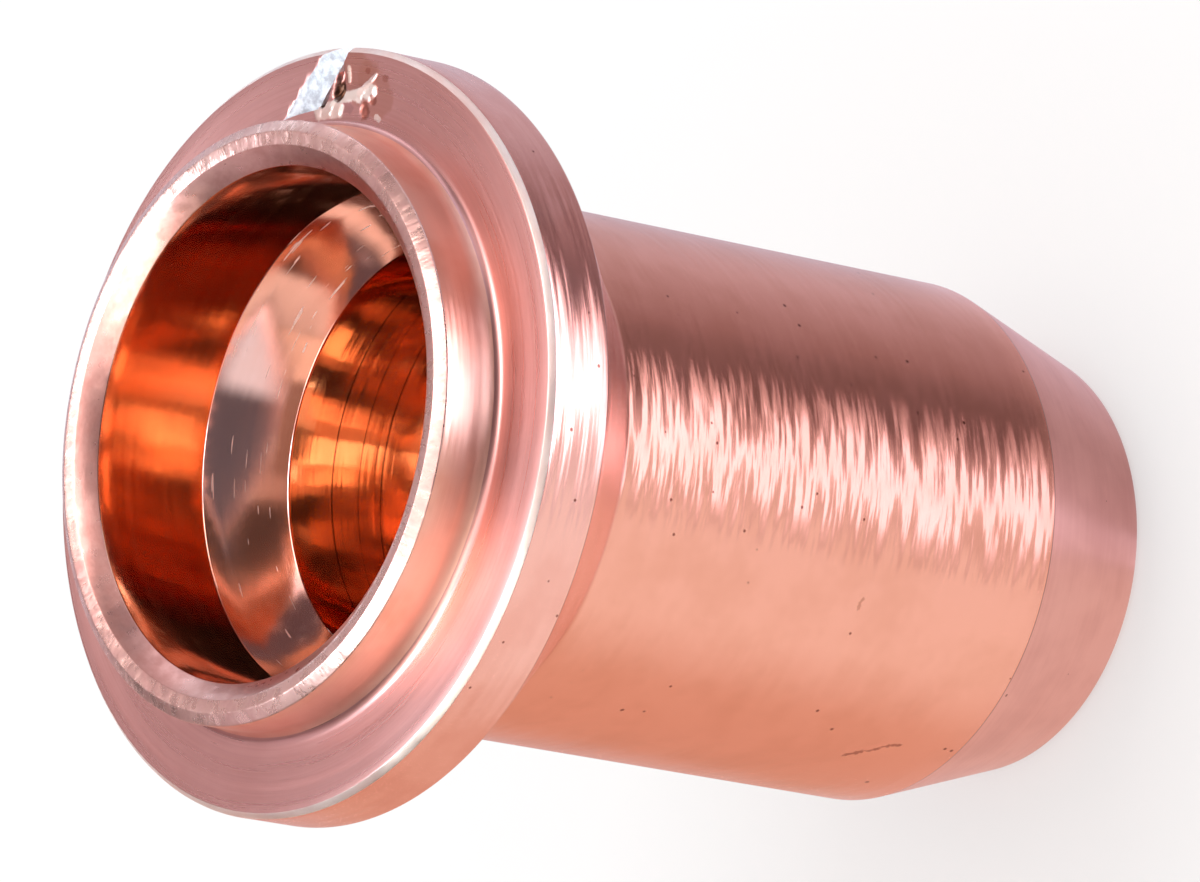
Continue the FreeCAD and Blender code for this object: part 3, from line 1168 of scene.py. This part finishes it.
# Colours of the floor reflector by direction: degrees counter-clockwise from the camera's side.
SWEEP_FAR = (
    (-180.0, (0.65, 0.66, 0.80)),
    (-150.0, (0.72, 0.52, 0.50)),
    (-125.0, (0.73, 0.46, 0.35)),
    (-80.0, (0.80, 0.60, 0.50)),
    (-50.0, (0.98, 0.95, 0.92)),
    (-8.0, (0.98, 0.97, 0.97)),
    (-2.0, (0.76, 0.70, 0.72)),
    (3.0, (0.90, 0.85, 0.88)),
    (11.0, (0.95, 0.92, 1.0)),
    (17.0, (1.8, 1.85, 2.3)),
    (31.0, (1.8, 1.85, 2.3)),
    (37.0, (0.80, 0.72, 0.80)),
    (51.0, (0.42, 0.33, 0.37)),
    (59.0, (0.165, 0.12, 0.13)),
    (66.0, (0.185, 0.14, 0.155)),
    (82.0, (0.36, 0.29, 0.33)),
    (115.0, (0.60, 0.56, 0.66)),
    (180.0, (0.65, 0.66, 0.80)),
)
SWEEP_RIM = (
    *SWEEP_FAR[:8],
    (9.0, (1.0, 0.97, 1.02)),
    (16.0, (2.3, 2.4, 2.7)),
    (36.0, (2.1, 2.1, 2.4)),
    (47.0, (1.4, 1.3, 1.4)),
    (53.0, (0.60, 0.50, 0.55)),
    (59.0, (0.19, 0.14, 0.16)),
    *SWEEP_FAR[14:],
)
# Painted shadow of the nozzle on the floor round its foot, tinted by the copper, for the metal's
# reflections.
SWEEP_FOOT_SHADOW = (
    (-180.0, (0.85, 0.80, 0.95)),
    (-100.0, (0.83, 0.68, 0.64)),
    (0.0, (0.83, 0.70, 0.67)),
    (35.0, (0.60, 0.50, 0.53)),
    (75.0, (0.60, 0.50, 0.53)),
    (115.0, (0.85, 0.80, 0.95)),
    (180.0, (0.85, 0.80, 0.95)),
)
SWEEP_PEAK = 2.7


@dataclass
class Studio:
    """Floor, lamp, reflectors and camera.

    Attributes:
        aim: Point on the nozzle that the camera looks at.
        distance: Camera to that point.
        elevation: Camera above the horizon.
        azimuth: Turn of the camera's view from +Y.
        roll: Clockwise turn of the camera about its view.
        lens: Focal length for the sensor's width.
        sensor: Width of the sensor.
        floor_radius: Radius of the floor.
        floor_drop: How far it lies under the nose face.
        floor_white: Share of the floor that shows as plain white, under its soft shadow.
        sweep_radius: Radius of the reflector that lies on it.
        sweep_drop: How far that lies under the nose face.
        sweep_centre: Point that the reflector's colours turn about.
        sweep_foot_shadow: Radii that the painted shadow round the nozzle's foot ends between.
        sweep_foot_shadow_share: Share of that painted shadow at the nozzle's foot.
        sweep_rim: Radii that the rim's colours begin between.
        sweep_far: Radii that its lights grow between.
        sweep_growth: How much they grow.
        tent_radius: Radius of the tent.
        room: Brightness of the room, where white paper in full light is 1.
    """

    aim: Triple = (0.95, -0.1, 11.35)
    distance: float = 235.2
    elevation: float = 39.37
    azimuth: float = 0.3
    roll: float = 79.16
    lens: float = 343.64
    sensor: float = 36.0
    floor_radius: float = 3000.0
    floor_drop: float = 0.05
    floor_white: float = 0.5
    sweep_radius: float = 400.0
    sweep_drop: float = 0.02
    sweep_centre: Triple = (0.0, -2.75, 0.0)
    sweep_foot_shadow: tuple[float, float] = (6.3, 9.5)
    sweep_foot_shadow_share: float = 0.85
    sweep_rim: tuple[float, float] = (25.0, 28.5)
    sweep_far: tuple[float, float] = (32.0, 60.0)
    sweep_growth: float = 5.0
    tent_radius: float = 900.0
    room: float = 0.94

    def camera(self) -> None:
        """Place the camera at the photograph's angle and make it the scene's."""
        data = bpy.data.cameras.new("camera")
        data.sensor_width = self.sensor
        data.lens = self.lens
        data.clip_start = 0.01
        camera = bpy.data.objects.new("camera", data)
        bpy.context.scene.collection.objects.link(camera)
        rise, turn = math.radians(self.elevation), math.radians(self.azimuth)
        view = Vector((math.sin(turn) * math.cos(rise), math.cos(turn) * math.cos(rise),
                       -math.sin(rise)))
        right = view.cross(Vector((0.0, 0.0, 1.0))).normalized()
        up = right.cross(view)
        level = Matrix((right, up, -view)).transposed()
        rolled = level @ Matrix.Rotation(-math.radians(self.roll), 3, "Z")
        place = (Vector(self.aim) - view * self.distance) * MM
        camera.matrix_world = Matrix.Translation(place) @ rolled.to_4x4()
        bpy.context.scene.camera = camera

    def lamp(self, name: str, azimuth: float, elevation: float, distance: float, size: float,
             power: float) -> bpy.types.Object:
        """Square soft lamp that faces the nozzle, hidden from the camera.

        Args:
            name: The lamp's name.
            azimuth: Its direction from the nozzle, counter-clockwise from +X.
            elevation: Its direction above the horizon.
            distance: Nozzle to lamp.
            size: Its side.
            power: Its power in watts.

        Returns:
            The lamp.
        """
        data = bpy.data.lights.new(name, "AREA")
        data.size = size * MM
        data.energy = power
        lamp = bpy.data.objects.new(name, data)
        bpy.context.scene.collection.objects.link(lamp)
        turn, rise = math.radians(azimuth), math.radians(elevation)
        away = Vector((math.cos(turn) * math.cos(rise), math.sin(turn) * math.cos(rise),
                       math.sin(rise)))
        lamp.location = Vector((0.0, 0.0, 10.0 * MM)) + away * distance * MM
        lamp.rotation_euler = away.to_track_quat("Z", "Y").to_euler()
        lamp.visible_camera = False
        return lamp

    def sheet(self, name: str, radius: float, drop: float) -> bpy.types.Object:
        """Lay a round flat sheet about the axis.

        Args:
            name: The sheet's name.
            radius: Its radius.
            drop: How far it lies under the nose face.

        Returns:
            The sheet.
        """
        bpy.ops.object.select_all(action="DESELECT")
        bpy.ops.mesh.primitive_circle_add(vertices=64, radius=radius * MM, fill_type="NGON")
        sheet = bpy.context.object
        sheet.name = name
        bpy.ops.object.mode_set(mode="EDIT")
        bpy.ops.transform.translate(value=(0.0, 0.0, -drop * MM))
        bpy.ops.object.mode_set(mode="OBJECT")
        return sheet

    def floor(self) -> None:
        """Lay the plain pale floor, clear from below so that the nose can be seen."""
        floor = self.sheet("floor", self.floor_radius, self.floor_drop)
        g = Graph("pale_floor")
        shader = g.add("BsdfPrincipled", Base_Color=(0.92, 0.92, 0.92, 1.0), Roughness=0.9)
        shader.inputs["Specular IOR Level"].default_value = 0.0
        rays = g.add("LightPath")
        seen = g.math("MAXIMUM", rays.outputs["Is Camera Ray"], rays.outputs["Is Glossy Ray"])
        seen = g.math("MAXIMUM", seen, rays.outputs["Is Transmission Ray"])
        white = g.add("Emission", Color=(1.0, 1.0, 1.0, 1.0), Strength=1.0)
        paper = g.add("MixShader", n0=g.math("MULTIPLY", seen, self.floor_white),
                      n1=shader.outputs[0], n2=white.outputs[0])
        sides = g.add("MixShader", n0=g.add("NewGeometry").outputs["Backfacing"],
                      n1=paper.outputs[0], n2=g.add("BsdfTransparent").outputs[0])
        g.material.cycles.emission_sampling = "NONE"
        floor.data.materials.append(g.surface(sides.outputs[0]))

    def reflector(self, piece: bpy.types.Object, g: Graph, colour: Socket) -> None:
        """Make a piece glow in a colour that only the metal's reflections see.

        Args:
            piece: The piece.
            g: Its material's graph.
            colour: The colour.
        """
        glow = g.add("Emission", Color=colour, Strength=1.0)
        g.material.cycles.emission_sampling = "NONE"
        piece.data.materials.append(g.surface(glow.outputs[0]))
        piece.visible_camera = piece.visible_diffuse = piece.visible_shadow = False

    def ramp(self, g: Graph, share: Socket, colours: tuple[tuple[float, Triple], ...]) -> Socket:
        """Sweep colours round the axis.

        Args:
            g: The material's graph.
            share: Direction as a share of the full turn.
            colours: Degrees and colour of each stop, from -180 to 180.

        Returns:
            The colour in that direction.
        """
        ramp = g.add("ValToRGB", Fac=share)
        stops = ramp.color_ramp.elements
        while len(stops) < len(colours):
            stops.new(0.5)
        for stop, (degrees, colour) in zip(stops, colours):
            stop.position = degrees / 360 + 0.5
            stop.color = (*[value / SWEEP_PEAK for value in colour], 1.0)
        return g.scaled(ramp.outputs["Color"], SWEEP_PEAK)

    def sweep(self) -> None:
        """Lay the reflector on the floor, its colours swept round the nozzle, with a painted shadow
        round its foot.
        """
        piece = self.sheet("floor_reflector", self.sweep_radius, self.sweep_drop)
        g = Graph("floor_reflector")
        place = g.scaled(g.add("TexCoord").outputs["Object"], 1 / MM)
        parts = g.add("SeparateXYZ", Vector=g.vector("SUBTRACT", place, self.sweep_centre))
        turn = g.math("ARCTAN2", parts.outputs["X"], g.math("MULTIPLY", parts.outputs["Y"], -1.0))
        share = g.math("ADD", g.math("DIVIDE", turn, FULL_TURN), 0.5)
        radius = g.vector("LENGTH", place)
        far = g.mix(g.remap(radius, *self.sweep_rim), self.ramp(g, share, SWEEP_FAR),
                    self.ramp(g, share, SWEEP_RIM))
        over = g.vector("MAXIMUM", g.vector("SUBTRACT", far, (1.0, 1.0, 1.0)), (0.0, 0.0, 0.0))
        grown = g.remap(radius, *self.sweep_far, 0.0, self.sweep_growth)
        far = g.vector("ADD", far, g.scaled(over, grown))
        # Round the nozzle's foot the painted shadow takes over.
        near = g.remap(radius, *self.sweep_foot_shadow, self.sweep_foot_shadow_share, 0.0)
        self.reflector(piece, g, g.mix(near, far, self.ramp(g, share, SWEEP_FOOT_SHADOW)))

    def tent(self) -> None:
        """Put the tent up, with its panels."""
        bpy.ops.object.select_all(action="DESELECT")
        bpy.ops.mesh.primitive_ico_sphere_add(subdivisions=4, radius=self.tent_radius * MM)
        piece = bpy.context.object
        piece.name = "tent"
        g = Graph("tent")
        way = g.vector("NORMALIZE", g.add("TexCoord").outputs["Object"])
        rise = g.math("DEGREES", g.math("ARCSINE", g.add("SeparateXYZ", Vector=way).outputs["Z"]))
        colour = g.combine(*TENT_DARK)
        for panel in TENT:
            off = (g.turned_from(way, panel.azimuth),
                   g.math("ABSOLUTE", g.math("SUBTRACT", rise, panel.elevation)))
            inside = [g.remap(value, reach - panel.edge, reach + panel.edge, 1.0, 0.0)
                      for value, reach in zip(off, panel.reach)]
            colour = g.mix(g.math("MULTIPLY", *inside), colour, (*panel.colour, 1.0))
        self.reflector(piece, g, colour)

    def world(self) -> None:
        """Plain pale surroundings."""
        world = bpy.data.worlds.new("studio")
        world.use_nodes = True
        world.node_tree.nodes["Background"].inputs["Color"].default_value = (1.0, 1.0, 1.0, 1.0)
        world.node_tree.nodes["Background"].inputs["Strength"].default_value = self.room
        bpy.context.scene.world = world

    def build(self) -> None:
        """Set up the whole studio."""
        self.camera()
        self.floor()
        self.sweep()
        self.tent()
        self.world()
        self.lamp("overhead", azimuth=10.0, elevation=73.0, distance=350.0, size=150.0, power=0.30)
        scene = bpy.context.scene
        scene.view_settings.view_transform = "Standard"
        scene.cycles.max_bounces = 16
        scene.cycles.glossy_bounces = 14


def main() -> None:
    """Build the nozzle and its studio."""
    logging.basicConfig(level=logging.INFO, format="%(name)s: %(message)s")
    low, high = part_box(NODE)
    nozzle = TurnedNozzle(length=high.z / MM, flange_radius=round((high.x - low.x) / 2 / MM, 2))
    piece = nozzle.build()
    log.info("%s: %d faces", piece.name, len(piece.data.polygons))
    Studio().build()


if __name__ == "__main__":
    main()
